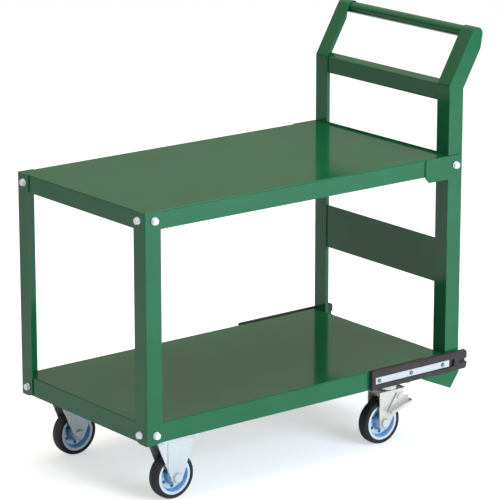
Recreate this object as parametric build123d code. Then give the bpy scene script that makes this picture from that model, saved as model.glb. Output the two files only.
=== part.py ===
from build123d import *
import os
from math import acos, atan2, cos, hypot, pi, radians, sin

os.makedirs("parts", exist_ok=True)

# Two-tier push trolley in folded and welded sheet steel. Millimetres, +Z up, floor at Z = 0.
# The trolley rolls towards -X; the handle is at +X. Left is -Y, right is +Y.
# The origin lies on the floor, under the middle of the overall box.

# ---- Frame ----
FRAME_LENGTH = 844.0      # front face of the front posts to the back edge of the rear posts
FRAME_WIDTH = 452.0       # over the front posts
UPPER_TOP = 629.0         # loading height of the upper deck
LOWER_TOP = 187.0         # loading height of the lower deck
POST_LEG = 39.0           # each leg of the folded steel angle
POST_SHEET = 2.3
POST_DROP = 2.0           # front posts end this far below the lower deck's lip
POST_CHAMFER_WIDE = 14.0
POST_CHAMFER_HIGH = 4.6
DECK_SHEET = 1.6
DECK_BEND = 2.6           # outside radius of the pressed edges
UPPER_LIP = 38.0
LOWER_LIP = 41.7
REAR_UPSTAND = 4.0        # low rim along the upper deck's rear edge
PANEL_TOP = 439.0
PANEL_HEIGHT = 98.0
PANEL_SHEET = 2.3

# ---- Handle ----
BEND_Z = 781.5            # height at which the rear posts lean back
BEND_RADIUS = 11.0
ARM_LEAN = 30.0           # degrees from upright
ARM_LENGTH = 142.2        # along the leaning part
ARM_SHOULDER = 37.0       # the side leg starts to narrow this far from the arm's end
GRIP_DIAMETER = 25.4
GRIP_WALL = 2.0
CROSSBAR_SIZE = 38.0
CROSSBAR_WALL = 1.6
CROSSBAR_CORNER = 4.0
WELD_GAP = 0.1            # root gap at welded butt ends

# ---- Rear corner plates ----
PLATE_SHEET = 3.2
BRACKET_FORWARD = 65.7    # reach of the upper bracket in front of the rear post
BRACKET_HEIGHT = 51.0
BRACKET_CHAMFER = 10.0
BRACKET_NICK = 4.0
BRACKET_CORNER = 4.0
BRACKET_BACK = 35.0       # reach behind the post's front face
GUSSET_FORWARD = 65.0
GUSSET_EDGE = 48.0        # depth of the gusset's rear edge below the deck surface
GUSSET_TIP_DROP = 81.5    # depth of the gusset's lowest point below the deck surface
GUSSET_TIP_BACK = 15.0
GUSSET_FRONT_DROP = 47.0
GUSSET_CORNER = 3.0

# ---- Frame bolts, M8 ----
HEX_TURNED = 1.12         # turned radius of a hexagon over half its flats
HEX_BREAK_HIGH = 0.18     # broken edge as a share of the height
HEX_BREAK_WIDE = 0.08     # broken edge as a share of the flats
BOLT_D = 8.0
BOLT_HEAD = 5.5
BOLT_FLATS = 13.0
NUT_HEIGHT = 6.5
WASHER_D = 16.0
WASHER_SHEET = 1.6
BOLT_HOLE_SLACK = 0.3     # radial room in a bolt hole
THREAD_SLACK = 0.05       # radial room in a nut
THREAD_PROUD = 2.0        # thread showing past a nut
BOLT_INSET = 23.0         # bolt line from the outer corner of an angle
BOLT_DROP_UPPER = 18.5    # bolt line below the upper deck surface
BOLT_DROP_LOWER = 24.0
BRACKET_BOLT_BACK = 18.5
BRACKET_BOLT_DROP = 22.0

# ---- Bumpers ----
BUMPER_LENGTH = 272.0
BUMPER_OVERHANG = 17.6    # past the back edge of the rear post
BUMPER_THICK = 10.5
BUMPER_PROUD = 2.0        # above the lower deck surface
BUMPER_HEIGHT = 43.5
BUMPER_EDGE = 2.5
BUMPER_END_ROUND = 8.3
BUMPER_SLACK = 0.3        # between the bumper's relief and the gusset
WINDOW_START = 9.3       # from the bumper's front end
WINDOW_LENGTH = 225.0
WINDOW_HEIGHT = 16.8
WINDOW_DEPTH = 4.6
WINDOW_DROP = 21.8        # window centre below the deck surface
POCKET_LENGTH = 12.0      # deeper end of the window
POCKET_DEPTH = 6.2
SLOT_LENGTH = 24.0
SLOT_HEIGHT = 8.4
SLOT_DEPTH = 3.8
NOTCH_LENGTH = 3.7
STRIP_LENGTH = 211.0
STRIP_HEIGHT = 14.8
STRIP_SHEET = 2.0
STRIP_START = 1.5         # gap between the window's front end and the strip
SCREW_D = 5.0
SCREW_HEAD_D = 9.0
SCREW_HEAD = 2.6
SCREW_HEAD_ROUND = 1.5
SCREW_NUT_FLATS = 8.0
SCREW_NUT = 4.0
SCREW_FIRST = 10.2        # first screw from the strip's front end
SCREW_PITCH = 90.7
SCREW_COUNT = 3

# ---- Casters, 100 mm ----
WHEEL_RADIUS = 50.0
TYRE_WIDTH = 28.0
TYRE_SHOULDER = 4.6
RIM_RADIUS = 40.0
SEAT_RADIUS = 35.6        # tyre bore
RIM_PLANE = 11.8          # outside face of the rim flange from the wheel's middle
TYRE_FIT = 0.1
TYRE_STEP_GAP = 0.3       # between a rim's edge and the tyre's step
DISC_SHEET = 1.5
DISC_FLOOR = 1.7          # outside face of the trough floor from the wheel's middle
TROUGH_INNER = 18.0
TROUGH_OUTER = 29.0
TROUGH_RIM = 34.0
HUB_CROWN = 14.4
HUB_CROWN_RADIUS = 12.5
HUB_RADIUS = 8.0
HUB_FIT = 0.05
HUB_END_GAP = 0.7         # between the hub tube and each fork leg
RIVET_CIRCLE = 23.5
RIVET_COUNT = 6
RIVET_D = 4.0
RIVET_HEAD_D = 7.0
RIVET_HEAD = 1.4
RIVET_HEAD_ROUND = 1.0
RIVET_SLACK = 0.1
AXLE_D = 10.0
AXLE_FIT = 0.05
AXLE_HEAD_D = 21.0
AXLE_HEAD = 6.0
AXLE_HEAD_ROUND = 2.5
AXLE_FLATS = 17.0
AXLE_NUT = 8.0
FORK_INNER = 17.5         # inside face of a fork leg from the wheel's middle
FORK_SHEET = 3.0
CASTER_RISE = 42.5        # from a wheel's top to the face that the casters bolt to
CASTER_INSET = 51.0       # wheel middle plane in from the outer plane of the frame
FIXED_AXLE_X = 97.2      # from the front face of the front posts
SWIVEL_PIN_X = 681.5
SWIVEL_TRAIL = 22.2       # wheel axle in front of the swivel pin
CASTER_PLATE = 4.0
FIXED_PLATE_LENGTH = 100.0
SWIVEL_PLATE_LENGTH = 84.0
CASTER_PLATE_WIDTH = 78.0
CASTER_PLATE_CORNER = 6.0
CASTER_BOLT_SIDE = 30.0
FIXED_BOLT_REACH = 39.0
SWIVEL_BOLT_REACH = 34.0
FIXED_LEG_TOP = 96.3     # length of a fixed fork's leg at its upper edge
FIXED_LEG_BAND = 9.3
FIXED_LEG_FOOT = 14.0
RIB_WIDTH = 46.0
RIB_PROUD = 2.0
SWIVEL_LEG_FRONT = 14.8   # leg and crown in front of the axle
SWIVEL_LEG_BACK = 59.3
SWIVEL_LEG_BAND = 13.0
SWIVEL_LEG_FOOT = 14.8
CROWN_RISE = 20.5         # from a wheel's top to the crown's upper face
CROWN_SHEET = 4.0
CROWN_CORNER = 7.4
KINGPIN_D = 12.0
KINGPIN_FIT = 0.1
KINGPIN_HEAD_D = 20.0
KINGPIN_HEAD = 5.2
KINGPIN_CHAMFER = 1.7
KINGPIN_PLAY = 0.3
BALL_D = 6.35
BALL_PLAY = 0.15
BALL_CIRCLE = 15.0
BALL_COUNT = 12
CUP_RADIUS = 21.4
CUP_SKIRT = 2.0
CUP_BORE = 9.5
SKIRT_GAP = 1.6
CASTER_BOLT_D = 8.0
CASTER_BOLT_FLATS = 13.0
CASTER_BOLT_HEAD = 5.3
CASTER_NUT = 6.5

# ---- Brake pedals: places are (distance behind the axle, height over the wheel's top) ----
PEDAL_SHEET = 2.5
PEDAL_GAP = 0.8           # cheek to fork leg
PEDAL_PIVOT_AT = (37.0, 3.7)
PEDAL_PIN_D = 6.0
PEDAL_PIN_FIT = 0.1
PEDAL_PIN_HEAD_D = 10.0
PEDAL_PIN_HEAD = 1.8
PEDAL_PIN_GAP = 0.3       # between a cheek and the pin's head
PEDAL_TREAD_FRONT_AT = (7.4, -22.2)
PEDAL_TREAD_REAR_AT = (65.7, -4.6)
PEDAL_CHEEK_FRONT_AT = (31.5, 12.0)
PEDAL_CHEEK_REAR_AT = (46.3, 9.3)
PEDAL_TREAD_WIDTH = 14.8
PEDAL_LIP = 4.6
PEDAL_SKIRT = 7.0         # depth of the tread's folded outer edge
PEDAL_SHOE_TIP_AT = (40.0, -12.5)
PEDAL_SHOE_WIDTH = 26.0
PEDAL_BRIDGE_LOW_AT = (61.1, -9.3)

# ---- Cross channels under the lower deck ----
CHANNEL_WIDTH = 108.0
CHANNEL_SHEET = 2.3
CHANNEL_SHORT = 12.0      # each end stops this far inside the outer plane

OVERSHOOT = 1.0           # cutters run this far past a face

# ---- Places worked out from the sizes above ----
LEAN_SIN = sin(radians(ARM_LEAN))
LEAN_COS = cos(radians(ARM_LEAN))
GRIP_RADIUS = GRIP_DIAMETER / 2
CURL_RADIUS = GRIP_RADIUS + POST_SHEET
GRIP_ALONG = ARM_LENGTH - CURL_RADIUS
GRIP_REACH = GRIP_ALONG * LEAN_SIN + CURL_RADIUS * LEAN_COS
GRIP_Z = BEND_Z + GRIP_ALONG * LEAN_COS - CURL_RADIUS * LEAN_SIN
BACK_REACH = FRAME_LENGTH - POST_LEG + GRIP_REACH + CURL_RADIUS
FRONT_REACH = WASHER_SHEET + BOLT_HEAD
FRONT = (FRONT_REACH - BACK_REACH) / 2
REAR = FRONT + FRAME_LENGTH - POST_LEG
BACK = FRONT + FRAME_LENGTH
GRIP_X = REAR + GRIP_REACH
SIDE = FRAME_WIDTH / 2
LIP_SIDE = SIDE - POST_SHEET
PLATE_SIDE = LIP_SIDE + PLATE_SHEET
LOWER_LIP_Z = LOWER_TOP - LOWER_LIP
CASTER_Y = SIDE - CASTER_INSET
FIXED_X = FRONT + FIXED_AXLE_X
PIN_X = FRONT + SWIVEL_PIN_X
SWIVEL_X = PIN_X - SWIVEL_TRAIL
BUMPER_END = BACK + BUMPER_OVERHANG
BUMPER_START = BUMPER_END - BUMPER_LENGTH
BUMPER_FACE = LIP_SIDE + BUMPER_THICK
BUMPER_TOP = LOWER_TOP + BUMPER_PROUD
BUMPER_BOTTOM = BUMPER_TOP - BUMPER_HEIGHT
WINDOW_Z = LOWER_TOP - WINDOW_DROP
STRIP_X = BUMPER_START + WINDOW_START + STRIP_START
STRIP_SEAT = BUMPER_FACE - WINDOW_DEPTH
WHEEL_TOP = 2 * WHEEL_RADIUS
MOUNT_HEIGHT = WHEEL_TOP + CASTER_RISE
MOUNT_BOTTOM = MOUNT_HEIGHT - CASTER_PLATE
CROWN_TOP = WHEEL_TOP + CROWN_RISE
FORK_OUTER = FORK_INNER + FORK_SHEET
CHEEK_INNER = FORK_OUTER + PEDAL_GAP
CHEEK_OUTER = CHEEK_INNER + PEDAL_SHEET
SIDES = (("left", -1), ("right", 1))


def over_wheel(place):
    """A pedal's place turned into a point over the floor."""
    behind, rise = place
    return (behind, WHEEL_TOP + rise)


PEDAL_PIVOT = over_wheel(PEDAL_PIVOT_AT)
PEDAL_TREAD_FRONT = over_wheel(PEDAL_TREAD_FRONT_AT)
PEDAL_TREAD_REAR = over_wheel(PEDAL_TREAD_REAR_AT)
PEDAL_CHEEK_FRONT = over_wheel(PEDAL_CHEEK_FRONT_AT)
PEDAL_CHEEK_REAR = over_wheel(PEDAL_CHEEK_REAR_AT)
PEDAL_SHOE_TIP = over_wheel(PEDAL_SHOE_TIP_AT)
PEDAL_BRIDGE_X, PEDAL_BRIDGE_LOW = over_wheel(PEDAL_BRIDGE_LOW_AT)


def block(x0, x1, y0, y1, z0, z1):
    """A box given by its two limits along each axis."""
    middle = Pos((x0 + x1) / 2, (y0 + y1) / 2, (z0 + z1) / 2)
    return middle * Box(x1 - x0, y1 - y0, z1 - z0)


def plate_xz(outline, y0, y1):
    """An outline drawn as (X, Z) points, made into a plate from y0 to y1."""
    face = make_face(Plane.XZ * Polyline(*outline, close=True))
    return Pos(0, y0, 0) * extrude(face, amount=y1 - y0, dir=(0, 1, 0))


def write(node, *solids):
    """Writes one node; several solids stay separate in it."""
    whole = solids[0] if len(solids) == 1 else Compound(list(solids))
    export_step(whole, f"parts/{node}.step")


def turned(part, side):
    """Pieces are drawn on the right and mirrored to the left."""
    return part if side > 0 else mirror(part, about=Plane.XZ)


# ---- Bolts ----
def seat(x, y, z, outward):
    """A bolt's place: the face under its washer, with local Z pointing out to the head."""
    upright = (1, 0, 0) if outward[2] else (0, 0, 1)
    return Plane(origin=(x, y, z), x_dir=upright, z_dir=outward).location


def frame_bolt_places():
    """Each frame bolt as its seat and the thickness that it clamps."""
    corner_grip = POST_SHEET + DECK_SHEET
    levels = (UPPER_TOP - BOLT_DROP_UPPER, LOWER_TOP - BOLT_DROP_LOWER)
    places = []
    for _, side in SIDES:
        for z in levels:
            places.append((seat(FRONT, side * (SIDE - BOLT_INSET), z, (-1, 0, 0)), corner_grip))
            places.append((seat(FRONT + BOLT_INSET, side * SIDE, z, (0, side, 0)), corner_grip))
            rear_y = side * (LIP_SIDE - BOLT_INSET)
            places.append((seat(REAR + POST_SHEET, rear_y, z, (1, 0, 0)), corner_grip))
        bracket_z = UPPER_TOP - BRACKET_BOLT_DROP
        bracket_seat = seat(REAR + BRACKET_BOLT_BACK, side * PLATE_SIDE, bracket_z, (0, side, 0))
        places.append((bracket_seat, PLATE_SHEET + POST_SHEET))
    return places


def hexagon(flats, height):
    """A hexagonal prism standing on Z = 0 with its edges at the free end broken."""
    prism = extrude(RegularPolygon(flats / 2, 6, major_radius=False), amount=height)
    turned_blank = rod(flats * HEX_TURNED, 0, height)
    top = turned_blank.edges().sort_by(Axis.Z)[-1]
    return prism & chamfer(top, height * HEX_BREAK_HIGH, flats * HEX_BREAK_WIDE)


def rod(diameter, z0, z1):
    """A round bar along local Z."""
    return Pos(0, 0, z0) * Cylinder(
        diameter / 2, z1 - z0, align=(Align.CENTER, Align.CENTER, Align.MIN)
    )


def bolt(diameter, flats, head, grip, washer, nut):
    """A hexagon bolt: its head above the washer, its shank down through the nut."""
    shank = rod(diameter, -(grip + nut + THREAD_PROUD), washer)
    return Pos(0, 0, washer) * hexagon(flats, head) + shank


def nut_solid(diameter, flats, height, grip):
    """A nut drawn up against the inside of the clamped sheets."""
    body = Pos(0, 0, -grip) * Rot(180, 0, 0) * hexagon(flats, height)
    return body - rod(diameter + 2 * THREAD_SLACK, -(grip + height + OVERSHOOT), OVERSHOOT - grip)


def washer_solid():
    """A flat washer under a frame bolt's head."""
    hole = rod(BOLT_D + 2 * BOLT_HOLE_SLACK, -OVERSHOOT, WASHER_SHEET + OVERSHOOT)
    return rod(WASHER_D, 0, WASHER_SHEET) - hole


def drilled(part):
    """Cuts the frame bolts' clearance holes that lie in a piece."""
    for place, grip in frame_bolt_places():
        cutter = rod(BOLT_D + 2 * BOLT_HOLE_SLACK, -(grip + OVERSHOOT), OVERSHOOT)
        part = part - place * cutter
    return part


# ---- Frame ----
def rounded_block(x0, x1, half_width, z0, z1, radius):
    """A block with its upright corners and its top edges rounded."""
    solid = block(x0, x1, -half_width, half_width, z0, z1)
    solid = fillet(solid.edges().filter_by(Axis.Z), radius)
    return fillet(solid.faces().sort_by(Axis.Z)[-1].edges(), radius)


def deck(top, lip, upstand):
    """A pan pressed from one sheet, with its lips turned down all round."""
    front = FRONT + POST_SHEET
    pan = rounded_block(front, REAR, LIP_SIDE, top - lip, top, DECK_BEND)
    hollow = rounded_block(
        front + DECK_SHEET,
        REAR - DECK_SHEET,
        LIP_SIDE - DECK_SHEET,
        top - lip - OVERSHOOT,
        top - DECK_SHEET,
        DECK_BEND - DECK_SHEET,
    )
    pan = pan - hollow
    if upstand:
        rim_side = LIP_SIDE - DECK_BEND
        pan = pan + block(REAR - DECK_SHEET, REAR, -rim_side, rim_side, top - DECK_BEND, top + upstand)
    return drilled(pan)


def front_post():
    """Right front post: an angle outside the decks' corner, open towards the back and the middle."""
    foot = LOWER_LIP_Z - POST_DROP
    cut = foot + POST_CHAMFER_HIGH
    narrow = POST_LEG - POST_CHAMFER_WIDE
    side_leg = plate_xz(
        [
            (FRONT, foot),
            (FRONT + narrow, foot),
            (FRONT + POST_LEG, cut),
            (FRONT + POST_LEG, UPPER_TOP),
            (FRONT, UPPER_TOP),
        ],
        LIP_SIDE,
        SIDE,
    )
    front_face = make_face(
        Plane.YZ
        * Polyline(
            (SIDE, foot),
            (SIDE - narrow, foot),
            (SIDE - POST_LEG, cut),
            (SIDE - POST_LEG, UPPER_TOP),
            (SIDE, UPPER_TOP),
            close=True,
        )
    )
    front_leg = Pos(FRONT, 0, 0) * extrude(front_face, amount=POST_SHEET, dir=(1, 0, 0))
    post = side_leg + front_leg
    corner = post.edges().filter_by(Axis.Z).sort_by(lambda e: e.center().X - e.center().Y)[0]
    return drilled(fillet(corner, POST_SHEET))


def arm_point(along, across):
    """A point of the leaning arm, from the bend: along the arm and square to it, as (X, Z)."""
    x = REAR + along * LEAN_SIN + across * LEAN_COS
    z = BEND_Z + along * LEAN_COS - across * LEAN_SIN
    return (x, z)


def arm_arc(radius, first, last):
    """Part of a circle round the grip, between two angles measured from square to the arm."""
    centre = (GRIP_ALONG, CURL_RADIUS)
    angles = (first, (first + last) / 2, last)
    points = [
        arm_point(centre[0] + radius * sin(a), centre[1] + radius * cos(a)) for a in angles
    ]
    return ThreePointArc(*points)


def rear_post():
    """Right rear post: one angle that leans back above the bend and curls over the grip tube."""
    foot = LOWER_LIP_Z
    bend_shift = POST_LEG * (1 - LEAN_COS) / LEAN_SIN
    run, rise = ARM_SHOULDER - CURL_RADIUS, POST_LEG - CURL_RADIUS
    tangent_angle = acos(CURL_RADIUS / hypot(run, rise)) - atan2(run, rise)
    curl_end = arm_arc(CURL_RADIUS, pi, tangent_angle)
    shoulder = arm_point(ARM_LENGTH - ARM_SHOULDER, POST_LEG)
    side_outline = [
        Line((REAR, foot), (REAR, BEND_Z)),
        Line((REAR, BEND_Z), arm_point(GRIP_ALONG, 0)),
        curl_end,
        Line(curl_end @ 1, shoulder),
        Line(shoulder, (REAR + POST_LEG, BEND_Z - bend_shift)),
        Line((REAR + POST_LEG, BEND_Z - bend_shift), (REAR + POST_LEG, foot)),
        Line((REAR + POST_LEG, foot), (REAR, foot)),
    ]
    side_face = make_face(Plane.XZ * Curve(side_outline))
    side_leg = Pos(0, LIP_SIDE - POST_SHEET, 0) * extrude(side_face, amount=POST_SHEET, dir=(0, 1, 0))
    outer = [
        Line((REAR, foot), (REAR, BEND_Z)),
        Line((REAR, BEND_Z), arm_point(GRIP_ALONG, 0)),
        arm_arc(CURL_RADIUS, pi, pi / 2),
    ]
    inner_shift = POST_SHEET * (1 - LEAN_COS) / LEAN_SIN
    inner_bend = (REAR + POST_SHEET, BEND_Z - inner_shift)
    inner_arc = arm_arc(GRIP_RADIUS, pi / 2, pi)
    inner = [
        Line(outer[2] @ 1, inner_arc @ 0),
        inner_arc,
        Line(inner_arc @ 1, inner_bend),
        Line(inner_bend, (REAR + POST_SHEET, foot)),
        Line((REAR + POST_SHEET, foot), (REAR, foot)),
    ]
    front_face = make_face(Plane.XZ * Curve(outer + inner))
    front_leg = Pos(0, LIP_SIDE - POST_LEG, 0) * extrude(front_face, amount=POST_LEG, dir=(0, 1, 0))
    post = side_leg + front_leg
    bends = [e for e in post.edges().filter_by(Axis.Y) if abs(e.center().Z - BEND_Z) < POST_SHEET]
    post = fillet(bends, BEND_RADIUS)
    return drilled(post)


def grip_tube():
    """The round grip, cut to fit between the arms' side legs and set into their curled front legs."""
    length = 2 * (LIP_SIDE - POST_SHEET - WELD_GAP)
    tube = Cylinder(GRIP_RADIUS - WELD_GAP, length) - Cylinder(GRIP_RADIUS - GRIP_WALL, length)
    return Pos(GRIP_X, 0, GRIP_Z) * Rot(90, 0, 0) * tube


def crossbar():
    """Square tube between the rear posts, under the bend and behind their front legs."""
    size = CROSSBAR_SIZE
    length = 2 * (LIP_SIDE - POST_SHEET - WELD_GAP)
    section = RectangleRounded(size, size, CROSSBAR_CORNER)
    bore = size - 2 * CROSSBAR_WALL
    section = section - RectangleRounded(bore, bore, CROSSBAR_CORNER - CROSSBAR_WALL)
    bar = extrude(section, amount=length / 2, both=True)
    place = Pos(REAR + POST_SHEET + WELD_GAP + size / 2, 0, BEND_Z - size / 2)
    return place * Rot(90, 0, 0) * bar


def back_panel():
    """Flat plate behind the rear posts' front legs, between the decks."""
    x0 = REAR + POST_SHEET
    half = LIP_SIDE - POST_SHEET - WELD_GAP
    return block(x0, x0 + PANEL_SHEET, -half, half, PANEL_TOP - PANEL_HEIGHT, PANEL_TOP)


def upper_bracket():
    """Right upper corner plate, welded to the deck's lip and bolted to the rear post."""
    front = REAR - BRACKET_FORWARD
    back = REAR + BRACKET_BACK
    bottom = UPPER_TOP - BRACKET_HEIGHT
    outline = [
        (front, bottom + BRACKET_CHAMFER),
        (front + BRACKET_CHAMFER, bottom),
        (back, bottom),
        (back, UPPER_TOP),
        (front + BRACKET_NICK, UPPER_TOP),
        (front, UPPER_TOP - BRACKET_NICK),
    ]
    plate = plate_xz(outline, LIP_SIDE, PLATE_SIDE)
    back_corners = plate.edges().filter_by(Axis.Y).sort_by(Axis.X)[-2:]
    return drilled(fillet(back_corners, BRACKET_CORNER))


def lower_gusset():
    """Right lower corner plate, welded to the deck's lip and to the foot of the rear post."""
    front = REAR - GUSSET_FORWARD
    outline = [
        (front, LOWER_TOP - DECK_BEND),
        (front, LOWER_TOP - GUSSET_FRONT_DROP),
        (REAR + GUSSET_TIP_BACK, LOWER_TOP - GUSSET_TIP_DROP),
        (BACK, LOWER_TOP - GUSSET_EDGE),
        (BACK, LOWER_TOP - DECK_BEND),
    ]
    plate = plate_xz(outline, LIP_SIDE, PLATE_SIDE)
    low_corners = plate.edges().filter_by(Axis.Y).sort_by(Axis.Z)[:3]
    plate = fillet(low_corners, GUSSET_CORNER)
    return plate - screw_holes(SCREW_D + 2 * BOLT_HOLE_SLACK)


def cross_channel(x, reach):
    """Channel across the underside of the lower deck, its legs welded to the deck."""
    half = CHANNEL_WIDTH / 2
    end = SIDE - CHANNEL_SHORT
    top = LOWER_TOP - DECK_SHEET
    channel = block(x - half, x + half, -end, end, MOUNT_HEIGHT, top)
    inside = half - CHANNEL_SHEET
    floor = MOUNT_HEIGHT + CHANNEL_SHEET
    ends = end + OVERSHOOT
    channel -= block(x - inside, x + inside, -ends, ends, floor, top + OVERSHOOT)
    hole = rod(CASTER_BOLT_D + 2 * BOLT_HOLE_SLACK, MOUNT_HEIGHT - OVERSHOOT, floor + OVERSHOOT)
    for _, side in SIDES:
        for dx, dy in plate_bolt_points(reach):
            channel -= Pos(x + dx, side * CASTER_Y + dy, 0) * hole
    return channel


# ---- Bumpers ----
def screw_places():
    """Seats of the right bumper's screws, on the outside of its steel strip."""
    face = STRIP_SEAT + STRIP_SHEET
    first = STRIP_X + SCREW_FIRST
    return [seat(first + i * SCREW_PITCH, face, WINDOW_Z, (0, 1, 0)) for i in range(SCREW_COUNT)]


def screw_holes(diameter):
    """Cutters for the bumper screws, from the strip's face to inside the deck's lip."""
    depth = STRIP_SEAT + STRIP_SHEET - LIP_SIDE + DECK_SHEET
    cutters = [place * rod(diameter, -depth - OVERSHOOT, OVERSHOOT) for place in screw_places()]
    return Compound(cutters)


def bumper():
    """Right bumper: a moulded rubber block with a sunk window for its steel strip."""
    body = block(BUMPER_START, BUMPER_END, LIP_SIDE, BUMPER_FACE, BUMPER_BOTTOM, BUMPER_TOP)
    ends = body.edges().filter_by(Axis.Y).sort_by(Axis.X)[-2:]
    body = fillet(ends, BUMPER_END_ROUND)
    body = fillet(body.faces().sort_by(Axis.Y)[-1].edges(), BUMPER_EDGE)
    relief_start = REAR - GUSSET_FORWARD - BUMPER_SLACK
    low, high = BUMPER_BOTTOM - OVERSHOOT, BUMPER_TOP + OVERSHOOT
    relief = PLATE_SIDE + BUMPER_SLACK
    body -= block(relief_start, BUMPER_END + OVERSHOOT, LIP_SIDE - OVERSHOOT, relief, low, high)
    x0 = BUMPER_START + WINDOW_START
    x1 = x0 + WINDOW_LENGTH
    z0, z1 = WINDOW_Z - WINDOW_HEIGHT / 2, WINDOW_Z + WINDOW_HEIGHT / 2
    outside = BUMPER_FACE + OVERSHOOT
    body -= block(x0, x1, STRIP_SEAT, outside, z0, z1)
    body -= block(x1 - POCKET_LENGTH, x1, BUMPER_FACE - POCKET_DEPTH, outside, z0, z1)
    s0, s1 = WINDOW_Z - SLOT_HEIGHT / 2, WINDOW_Z + SLOT_HEIGHT / 2
    body -= block(BUMPER_END - SLOT_LENGTH, BUMPER_END, BUMPER_FACE - SLOT_DEPTH, outside, s0, s1)
    notch = BUMPER_END - NOTCH_LENGTH
    body -= block(notch, BUMPER_END + OVERSHOOT, LIP_SIDE, outside, s0, s1)
    return body - screw_holes(SCREW_D + 2 * BOLT_HOLE_SLACK)


def bumper_strip():
    """Right bumper's steel strip, laid in the window."""
    half = STRIP_HEIGHT / 2
    face = STRIP_SEAT + STRIP_SHEET
    strip = block(STRIP_X, STRIP_X + STRIP_LENGTH, STRIP_SEAT, face, WINDOW_Z - half, WINDOW_Z + half)
    return strip - screw_holes(SCREW_D + 2 * BOLT_HOLE_SLACK)


def bumper_screw():
    """A pan-head screw at its seat, long enough for its nut."""
    grip = STRIP_SEAT + STRIP_SHEET - LIP_SIDE + DECK_SHEET
    head = rod(SCREW_HEAD_D, 0, SCREW_HEAD)
    head = fillet(head.edges().sort_by(Axis.Z)[-1], SCREW_HEAD_ROUND)
    return head + rod(SCREW_D, -(grip + SCREW_NUT + THREAD_PROUD), 0)


def bumper_nut():
    """The nut inside the deck's lip."""
    grip = STRIP_SEAT + STRIP_SHEET - LIP_SIDE + DECK_SHEET
    return nut_solid(SCREW_D, SCREW_NUT_FLATS, SCREW_NUT, grip)


# ---- Wheels, drawn round the Y axis at the origin ----
def tyre():
    """Solid rubber tyre, stepped at its sides to take the rims of the discs."""
    half = TYRE_WIDTH / 2
    seat_half = RIM_PLANE - DISC_SHEET - TYRE_FIT
    step = RIM_RADIUS + TYRE_STEP_GAP
    outline = [
        (SEAT_RADIUS, -seat_half),
        (step, -seat_half),
        (step, -half),
        (WHEEL_RADIUS, -half),
        (WHEEL_RADIUS, half),
        (step, half),
        (step, seat_half),
        (SEAT_RADIUS, seat_half),
    ]
    face = make_face(Polyline(*outline, close=True))
    shoulders = face.vertices().sort_by(Axis.X)[-2:]
    return revolve(fillet(shoulders, TYRE_SHOULDER), axis=Axis.Y)


def sheet_section(path, thickness):
    """Closes a line into the section of a sheet of the given thickness, on the wheel's inner side."""
    return offset(path, amount=thickness, side=Side.RIGHT, kind=Kind.INTERSECTION)


def wheel_disc():
    """One pressed steel disc: a flat rim, a trough where the two discs meet, and a raised middle."""
    path = Polyline(
        (HUB_RADIUS + HUB_FIT, HUB_CROWN),
        (HUB_CROWN_RADIUS, HUB_CROWN),
        (TROUGH_INNER, DISC_FLOOR),
        (TROUGH_OUTER, DISC_FLOOR),
        (TROUGH_RIM, RIM_PLANE),
        (RIM_RADIUS, RIM_PLANE),
    )
    face = make_face(sheet_section(path, DISC_SHEET))
    disc = revolve(face, axis=Axis.Y)
    return disc - rivet_holes()


def rivet_places():
    """Centres of the rivets on their circle."""
    turns = [2 * pi * i / RIVET_COUNT + pi / RIVET_COUNT for i in range(RIVET_COUNT)]
    return [Pos(RIVET_CIRCLE * cos(t), 0, RIVET_CIRCLE * sin(t)) * Rot(90, 0, 0) for t in turns]


def rivet_holes():
    """Cutters for the rivets through both discs."""
    reach = DISC_FLOOR + OVERSHOOT
    return Compound([p * rod(RIVET_D + 2 * RIVET_SLACK, -reach, reach) for p in rivet_places()])


def rivets():
    """Rivets that hold the two discs together, headed on both sides."""
    solids = []
    for place in rivet_places():
        rivet = rod(RIVET_D, -DISC_FLOOR, DISC_FLOOR)
        for flip in (0, 180):
            head = rod(RIVET_HEAD_D, DISC_FLOOR, DISC_FLOOR + RIVET_HEAD)
            head = fillet(head.edges().sort_by(Axis.Z)[-1], RIVET_HEAD_ROUND)
            rivet += Rot(flip, 0, 0) * head
        solids.append(place * rivet)
    return solids


def hub():
    """Steel hub tube that turns on the axle bolt."""
    half = FORK_INNER - HUB_END_GAP
    ends = half + OVERSHOOT
    tube = rod(2 * HUB_RADIUS, -half, half) - rod(AXLE_D + 2 * AXLE_FIT, -ends, ends)
    return Rot(90, 0, 0) * tube


def axle(leg_face):
    """Axle bolt with a round cap head on the left side and a nut on the right side."""
    cap = rod(AXLE_HEAD_D, leg_face, leg_face + AXLE_HEAD)
    cap = fillet(cap.edges().sort_by(Axis.Z)[-1], AXLE_HEAD_ROUND)
    shank = rod(AXLE_D, -(leg_face + AXLE_NUT + THREAD_PROUD), leg_face)
    nut = nut_solid(AXLE_D, AXLE_FLATS, AXLE_NUT, leg_face)
    return Rot(90, 0, 0) * (cap + shank), Rot(90, 0, 0) * nut


# ---- Caster forks, drawn with the axle above the origin ----
def leg_pair(face):
    """Two fork legs from one outline in the XZ plane."""
    right = Pos(0, FORK_INNER, 0) * extrude(face, amount=FORK_SHEET, dir=(0, 1, 0))
    return right + mirror(right, about=Plane.XZ)


def axle_bore(reach):
    """Cutter for the axle holes of both legs."""
    bore = rod(AXLE_D + 2 * BOLT_HOLE_SLACK, -reach, reach)
    return Pos(0, 0, WHEEL_RADIUS) * Rot(90, 0, 0) * bore


def plate_bolt_points(reach):
    """The four bolt holes of a caster's mounting plate."""
    return [(sx * reach, sy * CASTER_BOLT_SIDE) for sx in (-1, 1) for sy in (-1, 1)]


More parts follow.
